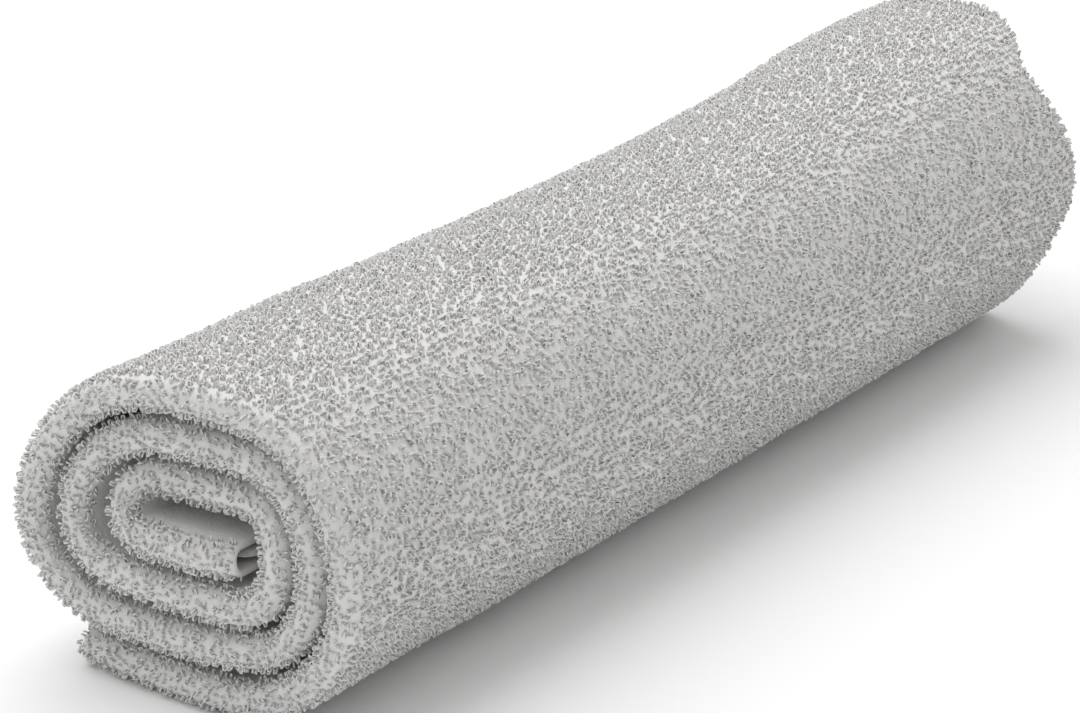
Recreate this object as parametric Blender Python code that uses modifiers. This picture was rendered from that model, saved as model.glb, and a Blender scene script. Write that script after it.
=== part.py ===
"""Rolled bath towel, in metres, +Z up.

A bath towel folded in thirds makes a strip of three plies. The strip is rolled up on itself from one end,
and the roll lies on its side along X. The origin is on the resting plane, under the middle of the roll.
"""

import math

import bmesh
import bpy
import numpy as np

NAME = "rolled_bath_towel"

# The folded strip
STRIP_WIDTH = 0.462  # a third of the towel's length, which becomes the length of the roll
STRIP_THICKNESS = 0.0122  # three plies with their pile pressed together
RIM_ROUND = 0.0040  # rounding of the folded edges at both ends of the roll

# The winding
CORE_HEIGHT = 0.0590  # the slit in the middle of the roll, above the resting plane
RUN_SHARPNESS = 4.0  # how quickly a flat run turns into the bend beside it
SEGMENTS_A_QUARTER = 8
CELLS_ALONG = 11  # cells from one end of the roll to the other
EDGE_CELL = 0.018  # the cells next to each end

# One row for each stretch of the winding, from the loose end under the roll to the end inside the core.
# quarter: turned so far, in quarter turns from the bottom. reach: from the core's line to the middle of the
# strip. straight: half the flat run of that turn. sag: how far that stretch hangs under its place.
# near, far: how far that part of the strip lies back from the end of the roll, at either end.
TURN_COLUMNS = ("quarter", "reach", "straight", "sag", "near", "far")
TURNS = (
    (-0.33, 0.0600, 0.0150, -0.0010, 0.0060, 0.0150),
    (0.0, 0.0545, 0.0150, 0.0000, 0.0025, 0.0150),
    (0.5, 0.0506, 0.0140, 0.0000, 0.0010, 0.0260),
    (1.0, 0.0465, 0.0135, 0.0000, 0.0010, 0.0110),
    (1.55, 0.0414, 0.0150, 0.0000, 0.0040, 0.0210),
    (2.0, 0.0390, 0.0170, 0.0000, 0.0050, -0.0100),
    (2.5, 0.0380, 0.0190, 0.0036, 0.0030, 0.0010),
    (3.0, 0.0388, 0.0212, 0.0080, 0.0010, 0.0100),
    (3.5, 0.0395, 0.0205, 0.0030, 0.0010, 0.0120),
    (4.0, 0.0380, 0.0190, 0.0000, 0.0015, 0.0140),
    (5.0, 0.0322, 0.0135, 0.0000, 0.0040, 0.0150),
    (6.0, 0.0240, 0.0165, 0.0000, 0.0080, 0.0140),
    (6.5, 0.0236, 0.0188, 0.0024, 0.0050, 0.0150),
    (7.0, 0.0238, 0.0208, 0.0050, 0.0030, 0.0160),
    (8.0, 0.0236, 0.0186, 0.0000, 0.0010, 0.0170),
    (9.0, 0.0168, 0.0144, 0.0000, 0.0060, 0.0180),
    (10.0, 0.0092, 0.0166, 0.0000, 0.0110, 0.0160),
    (10.5, 0.0093, 0.0168, 0.0000, 0.0080, 0.0160),
    (11.0, 0.0093, 0.0168, 0.0000, 0.0050, 0.0170),
    (11.5, 0.0093, 0.0168, 0.0000, 0.0030, 0.0180),
    (12.0, 0.0090, 0.0170, 0.0000, 0.0010, 0.0190),
    (12.25, 0.0090, 0.0170, 0.0000, 0.0050, 0.0200),
)

# One row for each station along the roll: how wide and how high the winding is there, and how far the whole
# of it lies to the left, seen from the near end.
STATION_COLUMNS = ("along", "wide", "high", "left")
STATIONS = (
    (0.0, 1.03, 1.00, 0.0000),
    (0.12, 1.00, 0.99, 0.0000),
    (0.35, 0.98, 0.98, 0.0000),
    (0.62, 0.97, 0.98, 0.0000),
    (0.86, 0.95, 1.00, 0.0015),
    (1.0, 0.93, 1.00, 0.0025),
)

# Soft swellings of the outermost turn: where along the roll and in quarter turns, how far each spreads in
# those two directions, and how far it stands out.
SWELL_COLUMNS = ("along", "quarter", "long", "round", "out")
SWELLS = (
    (0.98, 2.0, 0.22, 0.75, 0.0090),
    (0.30, 1.7, 0.20, 0.60, 0.0015),
)


def column(rows, names, name):
    return np.array([row[names.index(name)] for row in rows])


def eased(at, places, values):
    """Values at the given places along a table, joined by smooth steps that never overshoot its rows."""
    steps = np.diff(values) / np.diff(places)
    before, after = steps[:-1], steps[1:]
    level = before * after <= 0
    slopes = np.concatenate([steps[:1], np.zeros(len(before)), steps[-1:]])
    slopes[1:-1][~level] = (2 * before * after)[~level] / (before + after)[~level]
    row = np.clip(np.searchsorted(places, at) - 1, 0, len(places) - 2)
    span = places[row + 1] - places[row]
    t = (at - places[row]) / span
    rise = values[row + 1] - values[row]
    start, end = slopes[row] * span, slopes[row + 1] * span
    curve = t * (start + t * (3 * rise - 2 * start - end + t * (start + end - 2 * rise)))
    return values[row] + curve


def turn_value(quarter, name):
    return eased(quarter, column(TURNS, TURN_COLUMNS, "quarter"), column(TURNS, TURN_COLUMNS, name))


def station_value(along, name):
    return eased(along, column(STATIONS, STATION_COLUMNS, "along"), column(STATIONS, STATION_COLUMNS, name))


def winding(quarter):
    """Side and height of the strip's middle where it has turned this many quarters from the bottom."""
    angle = (quarter - 1) * math.pi / 2
    reach = turn_value(quarter, "reach")
    run = np.tanh(RUN_SHARPNESS * np.cos(angle)) / math.tanh(RUN_SHARPNESS)
    side = turn_value(quarter, "straight") * run + reach * np.cos(angle)
    height = CORE_HEIGHT - turn_value(quarter, "sag") + reach * np.sin(angle)
    return side, height


def swelling(along, quarter):
    """How far the outermost turn stands out at a place, as a sum of soft round humps."""
    out = np.zeros(len(along))
    for row in SWELLS:
        swell = dict(zip(SWELL_COLUMNS, row))
        distance = ((along - swell["along"]) / swell["long"]) ** 2
        distance += ((quarter - swell["quarter"]) / swell["round"]) ** 2
        out += swell["out"] * np.exp(-distance)
    return out


def cloth_middle(across, quarter):
    """The middle surface of the strip: a point for each place across it and each place along the winding."""
    near = turn_value(quarter, "near") - STRIP_WIDTH / 2
    far = STRIP_WIDTH / 2 - turn_value(quarter, "far")
    x = near + (far - near) * across
    along = x / STRIP_WIDTH + 0.5
    side, height = winding(quarter)
    out = swelling(along, quarter)
    angle = (quarter - 1) * math.pi / 2
    y = station_value(along, "left") - side * station_value(along, "wide") - out * np.cos(angle)
    z = height * station_value(along, "high") + out * np.sin(angle)
    return np.stack([x, y, np.maximum(z, STRIP_THICKNESS / 2)], axis=1)


def cell_places():
    """Places across the strip from 0 to 1, with a short cell at each end to carry the rounded rim."""
    edge = EDGE_CELL / STRIP_WIDTH
    return np.concatenate([[0.0], np.linspace(edge, 1 - edge, CELLS_ALONG - 1), [1.0]])


def rolled_strip(name):
    """A flat grid for the strip, wound up, thickened and rounded at its rims."""
    first, last = TURNS[0][0], TURNS[-1][0]
    segments = round((last - first) * SEGMENTS_A_QUARTER)
    shape = bmesh.new()
    bmesh.ops.create_grid(shape, x_segments=CELLS_ALONG, y_segments=segments, size=0.5)
    flat = np.array([vertex.co[:2] for vertex in shape.verts]) + 0.5
    across = cell_places()[np.rint(flat[:, 0] * CELLS_ALONG).astype(int)]
    placed = cloth_middle(across, first + (last - first) * flat[:, 1])
    placed[:, :2] -= (placed.min(axis=0) + placed.max(axis=0))[:2] / 2
    for vertex, place in zip(shape.verts, placed):
        vertex.co = place
    mesh = bpy.data.meshes.new(name)
    shape.to_mesh(mesh)
    shape.free()
    strip = bpy.data.objects.new(name, mesh)
    thick = strip.modifiers.new("plies", "SOLIDIFY")
    thick.thickness = STRIP_THICKNESS
    thick.offset = 0
    thick.use_even_offset = True
    rim = strip.modifiers.new("folded_rims", "BEVEL")
    rim.width = RIM_ROUND
    rim.segments = 3
    rim.limit_method = "ANGLE"
    rim.angle_limit = math.radians(60)
    rim.use_clamp_overlap = False
    return strip


def terry_material():
    """White cotton terry."""
    cotton = bpy.data.materials.new("white_terry")
    cotton.use_nodes = True
    shader = cotton.node_tree.nodes["Principled BSDF"]
    shader.inputs["Base Color"].default_value = (0.80, 0.79, 0.77, 1)
    shader.inputs["Roughness"].default_value = 1.0
    shader.inputs["Metallic"].default_value = 0.0
    return cotton


def clear_scene():
    for thing in list(bpy.data.objects):
        bpy.data.objects.remove(thing)


def main():
    clear_scene()
    group = bpy.data.collections.new(NAME)
    bpy.context.scene.collection.children.link(group)
    towel = rolled_strip("towel")
    towel.data.materials.append(terry_material())
    towel.data.shade_smooth()
    group.objects.link(towel)


main()
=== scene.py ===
import math

import bpy
import numpy as np
from mathutils import Matrix, Vector


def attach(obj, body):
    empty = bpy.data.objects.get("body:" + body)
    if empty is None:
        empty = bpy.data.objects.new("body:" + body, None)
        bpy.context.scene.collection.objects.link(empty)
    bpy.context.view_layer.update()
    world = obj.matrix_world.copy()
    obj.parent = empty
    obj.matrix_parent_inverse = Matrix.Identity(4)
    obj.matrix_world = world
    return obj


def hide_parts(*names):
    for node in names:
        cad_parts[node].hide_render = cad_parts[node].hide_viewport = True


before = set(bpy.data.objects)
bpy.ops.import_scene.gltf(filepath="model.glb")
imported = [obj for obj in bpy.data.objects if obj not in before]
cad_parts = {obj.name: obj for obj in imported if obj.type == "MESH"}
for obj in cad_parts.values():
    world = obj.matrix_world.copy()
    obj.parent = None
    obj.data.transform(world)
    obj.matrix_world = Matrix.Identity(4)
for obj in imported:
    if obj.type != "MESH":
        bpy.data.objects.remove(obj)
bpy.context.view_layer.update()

# How the folded strip is wound. Metres, and quarter turns counted from the bottom of the roll.
winding = {
    "stripWidth": 0.462,
    "stripThickness": 0.0122,
    "coreHeight": 0.0590,  # the slit in the middle, above the floor
    "runSharpness": 4.0,  # how quickly a flat run turns into the bend beside it
    "turnColumns": ("quarter", "reach", "straight", "sag", "near", "far"),
    "turns": (
        (-0.33, 0.0600, 0.0150, -0.0010, 0.0060, 0.0150),
        (0.0, 0.0545, 0.0150, 0.0000, 0.0025, 0.0150),
        (0.5, 0.0506, 0.0140, 0.0000, 0.0010, 0.0260),
        (1.0, 0.0465, 0.0135, 0.0000, 0.0010, 0.0110),
        (1.55, 0.0414, 0.0150, 0.0000, 0.0040, 0.0210),
        (2.0, 0.0390, 0.0170, 0.0000, 0.0050, -0.0100),
        (2.5, 0.0380, 0.0190, 0.0036, 0.0030, 0.0010),
        (3.0, 0.0388, 0.0212, 0.0080, 0.0010, 0.0100),
        (3.5, 0.0395, 0.0205, 0.0030, 0.0010, 0.0120),
        (4.0, 0.0380, 0.0190, 0.0000, 0.0015, 0.0140),
        (5.0, 0.0322, 0.0135, 0.0000, 0.0040, 0.0150),
        (6.0, 0.0240, 0.0165, 0.0000, 0.0080, 0.0140),
        (6.5, 0.0236, 0.0188, 0.0024, 0.0050, 0.0150),
        (7.0, 0.0238, 0.0208, 0.0050, 0.0030, 0.0160),
        (8.0, 0.0236, 0.0186, 0.0000, 0.0010, 0.0170),
        (9.0, 0.0168, 0.0144, 0.0000, 0.0060, 0.0180),
        (10.0, 0.0092, 0.0166, 0.0000, 0.0110, 0.0160),
        (10.5, 0.0093, 0.0168, 0.0000, 0.0080, 0.0160),
        (11.0, 0.0093, 0.0168, 0.0000, 0.0050, 0.0170),
        (11.5, 0.0093, 0.0168, 0.0000, 0.0030, 0.0180),
        (12.0, 0.0090, 0.0170, 0.0000, 0.0010, 0.0190),
        (12.25, 0.0090, 0.0170, 0.0000, 0.0050, 0.0200),
    ),
    "stationColumns": ("along", "wide", "high", "left"),
    "stations": (
        (0.0, 1.03, 1.00, 0.0000),
        (0.12, 1.00, 0.99, 0.0000),
        (0.35, 0.98, 0.98, 0.0000),
        (0.62, 0.97, 0.98, 0.0000),
        (0.86, 0.95, 1.00, 0.0015),
        (1.0, 0.93, 1.00, 0.0025),
    ),
    "swellColumns": ("along", "quarter", "long", "round", "out"),
    "swells": (
        (0.98, 2.0, 0.22, 0.75, 0.0090),
        (0.30, 1.7, 0.20, 0.60, 0.0015),
    ),
}

# The towel itself, folded in thirds. The near end shows the big fold, the far end the small fold and a hem.
towel = {
    "flatWidth": 0.70,  # rolled up along this side
    "flatLength": 1.40,
    "plyPitch": 0.0041,  # from one ply's middle to the next
    "plyThickness": 0.0024,  # ground cloth and flattened pile, without the loops that stand out
    "pileOut": 0.0012,  # how far the loops stand out of a fold
    "rowStep": 0.0036,  # along the winding
    "outerCell": 0.0060,  # along the roll, on the ply that shows
    "hiddenCell": 0.0240,
    "foldCells": 10,
    "hemBack": 0.0030,
    "edgeRows": 4,  # rows that round off the selvedges
    "unevenCell": 0.045,
    "unevenOut": 0.0008,
}

pile = {
    "pitch": 0.0022,  # from one loop to the next
    "yarn": 0.00042,  # radius of the looped yarn
    "height": 0.0019,
    "span": 0.0012,
    "lean": 0.0010,
    "loopsPerPiece": 9500,
    "seed": 7,
}

camera = {
    "yaw": 36.13,  # degrees from +X towards +Y, the way it looks
    "down": 20.86,
    "roll": 0.74,
    "distance": 1.2839,
    "aim": (-0.03975, 0.00655, 0.05117),
    "focalPixels": 3800,
    "framePixels": 1080,
}


def column(rows, names, name):
    return np.array([row[names.index(name)] for row in rows])


def eased(at, places, values):
    # Cubic steps between the rows, each row's slope the harmonic mean of the steps beside it, so none overshoots
    steps = np.diff(values) / np.diff(places)
    before, after = steps[:-1], steps[1:]
    level = before * after <= 0
    slopes = np.concatenate([steps[:1], np.zeros(len(before)), steps[-1:]])
    slopes[1:-1][~level] = (2 * before * after)[~level] / (before + after)[~level]
    row = np.clip(np.searchsorted(places, at) - 1, 0, len(places) - 2)
    gap = places[row + 1] - places[row]
    t = (at - places[row]) / gap
    rise = values[row + 1] - values[row]
    start, end = slopes[row] * gap, slopes[row + 1] * gap
    return values[row] + t * (start + t * (3 * rise - 2 * start - end + t * (start + end - 2 * rise)))


def turnValue(quarter, name):
    rows, names = winding["turns"], winding["turnColumns"]
    return eased(quarter, column(rows, names, "quarter"), column(rows, names, name))


def stationValue(along, name):
    rows, names = winding["stations"], winding["stationColumns"]
    return eased(along, column(rows, names, "along"), column(rows, names, name))


def stripMiddle(x, quarter):
    # A flattened spiral: reach from the core turned by the quarter's angle, plus a flat run that changes side
    # with tanh of the angle's cosine, scaled along the roll, with soft round humps added to the outermost turn
    angle = (quarter - 1) * math.pi / 2
    sharp = winding["runSharpness"]
    reach = turnValue(quarter, "reach")
    run = np.tanh(sharp * np.cos(angle)) / math.tanh(sharp)
    side = turnValue(quarter, "straight") * run + reach * np.cos(angle)
    height = winding["coreHeight"] - turnValue(quarter, "sag") + reach * np.sin(angle)
    along = x / winding["stripWidth"] + 0.5
    out = 0
    for row in winding["swells"]:
        swell = dict(zip(winding["swellColumns"], row))
        distance = ((along - swell["along"]) / swell["long"]) ** 2
        distance += ((quarter - swell["quarter"]) / swell["round"]) ** 2
        out = out + swell["out"] * np.exp(-distance)
    y = stationValue(along, "left") - side * stationValue(along, "wide") - out * np.cos(angle)
    z = height * stationValue(along, "high") + out * np.sin(angle)
    return np.stack([x, y, np.maximum(z, winding["stripThickness"] / 2)], axis=-1)


def unit(vectors):
    return vectors / np.maximum(np.linalg.norm(vectors, axis=-1, keepdims=True), 1e-12)


def stripFrame(x, quarter):
    # The middle point with its directions along the roll, around it and outwards, from small differences
    dx, dq = 0.002, 0.04
    low, high = winding["turns"][0][0], winding["turns"][-1][0]
    middle = stripMiddle(x, quarter)
    along = unit(stripMiddle(x + dx, quarter) - stripMiddle(x - dx, quarter))
    ahead, behind = np.minimum(quarter + dq, high), np.maximum(quarter - dq, low)
    around = unit(stripMiddle(x, ahead) - stripMiddle(x, behind))
    return middle, along, around, unit(np.cross(along, around))


def acrossToX(across, quarter):
    # across runs from 0 at the near edge to 1 at the far edge of the strip at that quarter
    half = winding["stripWidth"] / 2
    near, far = turnValue(quarter, "near") - half, half - turnValue(quarter, "far")
    return near + (far - near) * across


def softNoise(points, cell, seed):
    # Value noise: random heights on a grid of cubes, blended by 3t^2 - 2t^3 along each side
    lattice = np.random.default_rng(seed).uniform(-1, 1, (32, 32, 32))
    at = points / cell
    low = np.floor(at).astype(int)
    t = at - low
    t = t * t * (3 - 2 * t)
    total = np.zeros(points.shape[:-1])
    for corner in np.ndindex(2, 2, 2):
        share = np.prod(np.where(corner, t, 1 - t), axis=-1)
        index = (low + corner) % 32
        total += share * lattice[index[..., 0], index[..., 1], index[..., 2]]
    return total


# The roll's middle, so that it stands centred on the origin as the solid does
quarterLow, quarterHigh = winding["turns"][0][0], winding["turns"][-1][0]
sampleQuarters, sampleAcross = np.meshgrid(np.linspace(quarterLow, quarterHigh, 400), np.linspace(0, 1, 60))
sampleMiddle = stripMiddle(acrossToX(sampleAcross, sampleQuarters), sampleQuarters).reshape(-1, 3)
centreShift = (sampleMiddle.min(axis=0) + sampleMiddle.max(axis=0)) / 2 * (1, 1, 0)


def windingLength(quarter):
    # Length along the strip's middle from the loose end, by adding up small chords halfway along the roll
    fine = np.linspace(quarterLow, quarterHigh, 3000)
    line = stripMiddle(np.zeros(len(fine)), fine)
    length = np.concatenate([[0], np.cumsum(np.linalg.norm(np.diff(line, axis=0), axis=1))])
    return np.interp(quarter, fine, length), fine, length


def quarterAt(distance):
    _, fine, length = windingLength(0.0)
    return np.interp(distance, length, fine)


totalLength = windingLength(quarterHigh)[0]
print("winding", round(float(totalLength), 3), "m long")


def run(start, end, cell, edgeCell):
    # Places along a straight ply, close together near both ends and further apart between
    edges = edgeCell * np.array([0, 1, 2, 3])
    sign = 1 if end > start else -1
    inner = np.linspace(start + sign * edges[-1], end - sign * edges[-1],
                        max(2, round(abs(end - start) / cell)))
    return np.concatenate([start + sign * edges[:-1], inner, end - sign * edges[:-1][::-1]])


def foldedPath():
    # The towel's middle line across the strip, from hem to hem: the inner third tucked in, back over the
    # outside, and under again. Rows are place across the strip, offset outwards, and the normal's two parts
    pitch, half = towel["plyPitch"], towel["plyThickness"] / 2
    width = winding["stripWidth"]
    bigFold = pitch + half + towel["pileOut"]
    smallFold = pitch / 2 + half + towel["pileOut"]
    turn = np.linspace(90, -90, towel["foldCells"] + 1)[1:-1] * math.pi / 180
    hidden, shown, edge = towel["hiddenCell"], towel["outerCell"], 0.004
    parts = []

    def straight(start, end, offset, cell, up):
        places = run(start, end, cell, edge)
        parts.append(np.stack([places, np.full(len(places), offset),
                               np.zeros(len(places)), np.full(len(places), up)], axis=1))

    def bend(centre, offset, radius, side, angles):
        parts.append(np.stack([centre + side * radius * np.cos(angles), offset + radius * np.sin(angles),
                               side * np.cos(angles), np.sin(angles)], axis=1))

    straight(bigFold + towel["hemBack"], width - smallFold, 0, hidden, -1)
    bend(width - smallFold, pitch / 2, pitch / 2, 1, -turn)
    straight(width - smallFold, bigFold, pitch, shown, 1)
    bend(bigFold, 0, pitch, -1, turn)
    straight(bigFold, width - towel["hemBack"], -pitch, hidden, -1)
    return np.concatenate(parts)


def meshFromGrid(name, points, quads, triangles=None):
    faces = [quads.reshape(-1, 4)] + ([] if triangles is None else [triangles.reshape(-1, 3)])
    mesh = bpy.data.meshes.new(name)
    mesh.vertices.add(len(points))
    mesh.vertices.foreach_set("co", points.astype(np.float32).ravel())
    corners = np.concatenate([block.ravel() for block in faces])
    sides = np.concatenate([np.full(len(block), block.shape[1]) for block in faces])
    mesh.loops.add(len(corners))
    mesh.loops.foreach_set("vertex_index", corners.astype(np.int32))
    mesh.polygons.add(len(sides))
    mesh.polygons.foreach_set("loop_start", np.concatenate([[0], np.cumsum(sides)[:-1]]).astype(np.int32))
    mesh.update(calc_edges=True)
    mesh.validate()
    mesh.shade_smooth()
    piece = bpy.data.objects.new(name, mesh)
    bpy.context.scene.collection.objects.link(piece)
    return piece


def clothPoint(place, offset, quarter):
    # A place across the strip and an offset outwards, carried round the winding, with slow unevenness
    across = place / winding["stripWidth"]
    middle, along, around, outward = stripFrame(acrossToX(across, quarter), quarter)
    point = middle + outward * offset[..., None]
    uneven = softNoise(point, towel["unevenCell"], 3) * towel["unevenOut"]
    point = point + outward * uneven[..., None] - centreShift
    point[..., 2] = np.maximum(point[..., 2], 0.0004)
    return point, along, around, outward


def buildTowel():
    # Each row of the grid is the folded path, carried round the winding; the sheet is half its thickness
    # either side of that, rounded off towards the hems and selvedges, and closed along all four edges
    path = foldedPath()
    steps = np.linalg.norm(np.diff(path[:, :2], axis=0), axis=1)
    pathLength = np.concatenate([[0], np.cumsum(steps)])
    half = towel["plyThickness"] / 2
    rounding = half * (1 - np.cos(np.linspace(0, math.pi / 2, towel["edgeRows"] + 1)))
    rows = round(totalLength / towel["rowStep"])
    distance = np.concatenate([rounding[:-1], np.linspace(half, totalLength - half, rows),
                               totalLength - rounding[:-1][::-1]])
    quarter = quarterAt(distance)
    fromEdge = np.minimum(distance, totalLength - distance) / half
    rowShare = np.sqrt(np.clip(1 - (1 - np.clip(fromEdge, 0, 1)) ** 2, 0.02, 1))
    fromHem = np.minimum(pathLength, pathLength[-1] - pathLength) / (2 * half)
    columnShare = np.sqrt(np.clip(1 - (1 - np.clip(fromHem, 0, 1)) ** 2, 0.02, 1))
    thickness = half * rowShare[:, None] * columnShare[None, :]
    shape = (len(quarter), len(path))
    quarters = np.broadcast_to(quarter[:, None], shape)
    faces = []
    for side in (1, -1):
        place = path[None, :, 0] + side * thickness * path[None, :, 2]
        offset = path[None, :, 1] + side * thickness * path[None, :, 3]
        faces.append(clothPoint(np.broadcast_to(place, shape), np.broadcast_to(offset, shape), quarters)[0])
    points = np.concatenate([faces[0].reshape(-1, 3), faces[1].reshape(-1, 3)])
    index = np.arange(shape[0] * shape[1]).reshape(shape)
    under = index + index.size

    def quads(a, b, c, d):
        return np.stack([a, b, c, d], axis=-1).reshape(-1, 4)

    top = quads(index[:-1, :-1], index[:-1, 1:], index[1:, 1:], index[1:, :-1])
    bottom = quads(under[:-1, :-1], under[1:, :-1], under[1:, 1:], under[:-1, 1:])
    first = quads(index[0, :-1], under[0, :-1], under[0, 1:], index[0, 1:])
    last = quads(index[-1, :-1], index[-1, 1:], under[-1, 1:], under[-1, :-1])
    hemA = quads(index[:-1, 0], index[1:, 0], under[1:, 0], under[:-1, 0])
    hemC = quads(index[:-1, -1], under[:-1, -1], under[1:, -1], index[1:, -1])
    piece = meshFromGrid("towel_cloth", points, np.concatenate([top, bottom, first, last, hemA, hemC]))
    print("cloth", len(piece.data.polygons) * 2, "triangles, towel length", round(float(pathLength[-1]), 3))
    return piece


def loopMesh(name, base, along, around, outward, rng, tall):
    # Each loop is an arch of yarn: its feet a span apart, its crown raised by the height and pushed over by the
    # lean, so a point at t is base + span*(-cos pi t)/2 + rise*sin pi t, with a three-sided tube round that line
    count = len(base)
    angle = rng.uniform(0, 2 * math.pi, count)
    leanAngle = rng.uniform(0, 2 * math.pi, count)
    size = rng.uniform(0.75, 1.25, count)[:, None]
    span = (along * np.cos(angle)[:, None] + around * np.sin(angle)[:, None]) * pile["span"] * size
    lean = (along * np.cos(leanAngle)[:, None] + around * np.sin(leanAngle)[:, None])
    lean = lean * pile["lean"] * rng.uniform(0.2, 1.2, count)[:, None]
    rise = outward * pile["height"] * size * tall[:, None] + lean
    t = np.linspace(0, 1, 4)
    line = (base[:, None] - span[:, None] * np.cos(math.pi * t)[None, :, None] / 2
            + rise[:, None] * np.sin(math.pi * t)[None, :, None] - outward[:, None] * 0.0003)
    tangent = unit(np.gradient(line, axis=1))
    sideways = unit(np.cross(span, rise))[:, None]
    inward = np.cross(tangent, sideways)
    radius = pile["yarn"] * rng.uniform(0.85, 1.15, count)[:, None, None, None]
    ring = np.arange(3) * 2 * math.pi / 3
    points = (line[:, :, None] + radius * (sideways[:, :, None] * np.cos(ring)[None, None, :, None]
                                           + inward[:, :, None] * np.sin(ring)[None, None, :, None]))
    points[..., 2] = np.maximum(points[..., 2], 0.0002)
    own = np.arange(12).reshape(4, 3)
    nextOne = np.roll(own, -1, axis=1)
    quad = np.stack([own[:-1], nextOne[:-1], nextOne[1:], own[1:]], axis=-1).reshape(-1, 4)
    caps = np.array([own[0][::-1], own[-1]])
    start = np.arange(count)[:, None, None] * 12
    piece = meshFromGrid(name, points.reshape(-1, 3), start + quad[None], start + caps[None])
    # The lift runs from 0 at a loop's feet to 1 at its crown and drives painted shade: the material colours each
    # loop darker towards its feet, down in the pile
    footShadeLift = piece.data.attributes.new("footShadeLift", "FLOAT", "POINT")
    values = np.broadcast_to(np.sin(math.pi * t)[None, :, None], (count, 4, 3))
    footShadeLift.data.foreach_set("value", values.astype(np.float32).ravel())
    return piece


def pilePatch(name, placeLow, placeHigh, quarterFrom, quarterTo, surface, rng, tall=1.0):
    # Loops on a jittered square lattice over a stretch of cloth; surface turns a length across into place,
    # offset and normal
    pitch = pile["pitch"]
    start, end = windingLength(quarterFrom)[0], windingLength(quarterTo)[0]
    across = np.arange(placeLow, placeHigh, pitch)
    down = np.arange(start, end, pitch)
    a, d = [grid.ravel() for grid in np.meshgrid(across, down)]
    a = a + rng.uniform(-0.35, 0.35, len(a)) * pitch
    d = d + rng.uniform(-0.35, 0.35, len(d)) * pitch
    quarter = quarterAt(np.clip(d, 0, totalLength))
    place, offset, normalAcross, normalOut = surface(np.clip(a, placeLow, placeHigh))
    base, along, around, outward = clothPoint(place, offset, quarter)
    normal = unit(along * normalAcross[:, None] + outward * normalOut[:, None])
    tangent = unit(np.cross(around, normal))
    height = np.full(len(base), tall)
    pieces = []
    blocks = math.ceil(len(base) / pile["loopsPerPiece"])
    for number, block in enumerate(np.array_split(np.arange(len(base)), blocks)):
        label = name if blocks == 1 else f"{name}_{number + 1}"
        pieces.append(loopMesh(label, base[block], tangent[block], around[block], normal[block], rng,
                               height[block]))
    print(name, len(base), "loops")
    return pieces


def outerSurface(a):
    # The outside of the towel across the strip: flat between two round ends
    pitch, half = towel["plyPitch"], towel["plyThickness"] / 2
    width = winding["stripWidth"]
    bigFold = pitch + half + towel["pileOut"]
    smallFold = pitch / 2 + half + towel["pileOut"]
    bigRadius, smallRadius = pitch + half, pitch / 2 + half
    length = width - bigFold - smallFold
    bigArc, smallArc = math.pi * bigRadius, math.pi * smallRadius
    # a runs from minus bigArc, at the inner side of the near fold, to length plus smallArc
    angleNear = np.clip(-a / bigRadius, 0, math.pi)
    angleFar = np.clip((a - length) / smallRadius, 0, math.pi)
    flat = np.clip(a, 0, length)
    place = bigFold + flat - bigRadius * np.sin(angleNear) + smallRadius * np.sin(angleFar)
    offset = bigRadius * np.cos(angleNear) + np.where(angleFar > 0, smallRadius * (np.cos(angleFar) - 1), 0)
    offset = np.where(angleNear > 0, bigRadius * np.cos(angleNear), offset)
    normalAcross = -np.sin(angleNear) + np.sin(angleFar)
    normalOut = np.where(angleNear > 0, np.cos(angleNear), np.cos(angleFar))
    return place, offset, normalAcross, normalOut


def terryMaterial(name, looped):
    material = bpy.data.materials.new(name)
    material.use_nodes = True
    tree = material.node_tree
    shader = tree.nodes["Principled BSDF"]
    shader.inputs["Roughness"].default_value = 1.0
    shader.inputs["Specular IOR Level"].default_value = 0.1
    shader.inputs["Sheen Weight"].default_value = 0.15
    shader.inputs["Sheen Roughness"].default_value = 0.6
    where = tree.nodes.new("ShaderNodeTexCoord")
    mottle = tree.nodes.new("ShaderNodeTexNoise")
    mottle.inputs["Scale"].default_value = 120
    mottle.inputs["Detail"].default_value = 3
    tree.links.new(where.outputs["Object"], mottle.inputs["Vector"])
    tint = tree.nodes.new("ShaderNodeMix")
    tint.data_type = "RGBA"
    tint.inputs["A"].default_value = (0.76, 0.755, 0.74, 1)
    tint.inputs["B"].default_value = (0.84, 0.835, 0.825, 1)
    tree.links.new(mottle.outputs["Fac"], tint.inputs["Factor"])
    colour = tint.outputs["Result"]
    if looped:
        # Painted shade: a darker grey mixed in towards each loop's feet, by the lift attribute, stands in for
        # the pile's own shadow between the loops
        footShadeLift = tree.nodes.new("ShaderNodeAttribute")
        footShadeLift.attribute_name = "footShadeLift"
        root = tree.nodes.new("ShaderNodeMix")
        root.data_type = "RGBA"
        root.inputs["A"].default_value = (0.72, 0.715, 0.70, 1)
        tree.links.new(footShadeLift.outputs["Fac"], root.inputs["Factor"])
        tree.links.new(colour, root.inputs["B"])
        colour = root.outputs["Result"]
    else:
        bump = tree.nodes.new("ShaderNodeBump")
        bump.inputs["Strength"].default_value = 0.6
        bump.inputs["Distance"].default_value = 0.0006
        grain = tree.nodes.new("ShaderNodeTexNoise")
        grain.inputs["Scale"].default_value = 900
        tree.links.new(where.outputs["Object"], grain.inputs["Vector"])
        tree.links.new(grain.outputs["Fac"], bump.inputs["Height"])
        tree.links.new(bump.outputs["Normal"], shader.inputs["Normal"])
    tree.links.new(colour, shader.inputs["Base Color"])
    return material


def plainMaterial(name, colour):
    material = bpy.data.materials.new(name)
    material.use_nodes = True
    shader = material.node_tree.nodes["Principled BSDF"]
    shader.inputs["Base Color"].default_value = (*colour, 1)
    shader.inputs["Roughness"].default_value = 1.0
    shader.inputs["Specular IOR Level"].default_value = 0.0
    return material


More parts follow.
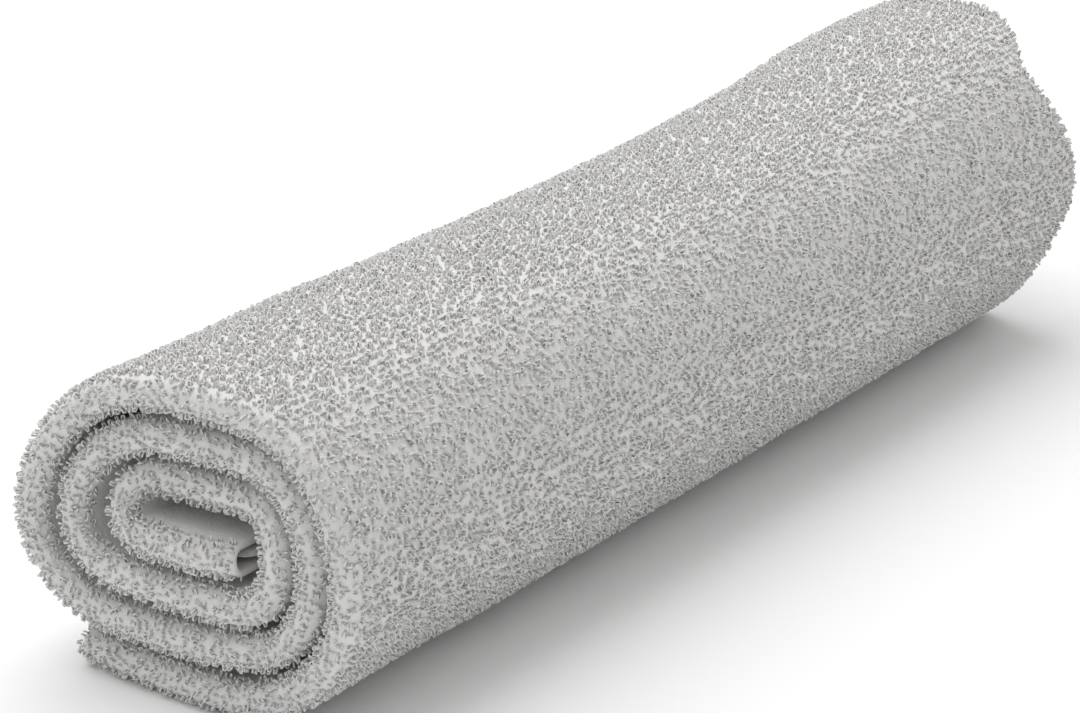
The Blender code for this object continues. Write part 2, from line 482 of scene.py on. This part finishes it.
def studio():
    bpy.ops.mesh.primitive_plane_add(size=12, location=(0, 0, 0))
    floor = bpy.context.object
    floor.name = "floor"
    floor.data.materials.append(plainMaterial("pale_floor", (0.96, 0.96, 0.96)))
    world = bpy.data.worlds.new("soft_sky")
    bpy.context.scene.world = world
    world.use_nodes = True
    world.node_tree.nodes["Background"].inputs["Color"].default_value = (1, 1, 1, 1)
    world.node_tree.nodes["Background"].inputs["Strength"].default_value = 0.62
    light = bpy.data.lights.new("top_softbox", "AREA")
    light.shape = "RECTANGLE"
    light.size, light.size_y = 2.4, 2.4
    light.energy = 42
    lamp = bpy.data.objects.new("top_softbox", light)
    lamp.location = (0.3, 0.9, 2.2)
    lamp.rotation_mode = "QUATERNION"
    lamp.rotation_quaternion = (lamp.location - Vector((0, 0, 0))).to_track_quat("Z", "Y")
    bpy.context.scene.collection.objects.link(lamp)
    bpy.context.scene.view_settings.view_transform = "Standard"


def photoCamera():
    yaw, down = math.radians(camera["yaw"]), math.radians(camera["down"])
    forward = Vector((math.cos(yaw) * math.cos(down), math.sin(yaw) * math.cos(down), -math.sin(down)))
    lens = bpy.data.cameras.new("camera")
    lens.sensor_width = 36
    lens.lens = 36 * camera["focalPixels"] / camera["framePixels"]
    eye = bpy.data.objects.new("camera", lens)
    eye.location = Vector(camera["aim"]) - forward * camera["distance"]
    turn = forward.to_track_quat("-Z", "Y").to_matrix()
    turn = turn @ Matrix.Rotation(math.radians(-camera["roll"]), 3, "Z")
    eye.rotation_mode = "QUATERNION"
    eye.rotation_quaternion = turn.to_quaternion()
    bpy.context.scene.collection.objects.link(eye)
    bpy.context.scene.camera = eye


print("building the cloth")
cloth = buildTowel()
cloth.data.materials.append(terryMaterial("terry_ground", False))
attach(cloth, "root")
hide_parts("towel")

print("building the pile")
rng = np.random.default_rng(pile["seed"])
loopMaterial = terryMaterial("terry_loops", True)
outerLength = winding["stripWidth"] - 0.012
pilePieces = []
bigArc = math.pi * (towel["plyPitch"] + towel["plyThickness"] / 2)
smallArc = math.pi * (towel["plyPitch"] / 2 + towel["plyThickness"] / 2)
pilePieces += pilePatch("pile", 0.0, outerLength, quarterLow, 4.2, outerSurface, rng)
pilePieces += pilePatch("pile_near", -bigArc, 0.0, quarterLow, quarterHigh, outerSurface, rng)
pilePieces += pilePatch("pile_far", outerLength, outerLength + smallArc, quarterLow, quarterHigh,
                        outerSurface, rng)
for piece in pilePieces:
    piece.data.materials.append(loopMaterial)
    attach(piece, "root")

print("studio")
studio()
photoCamera()
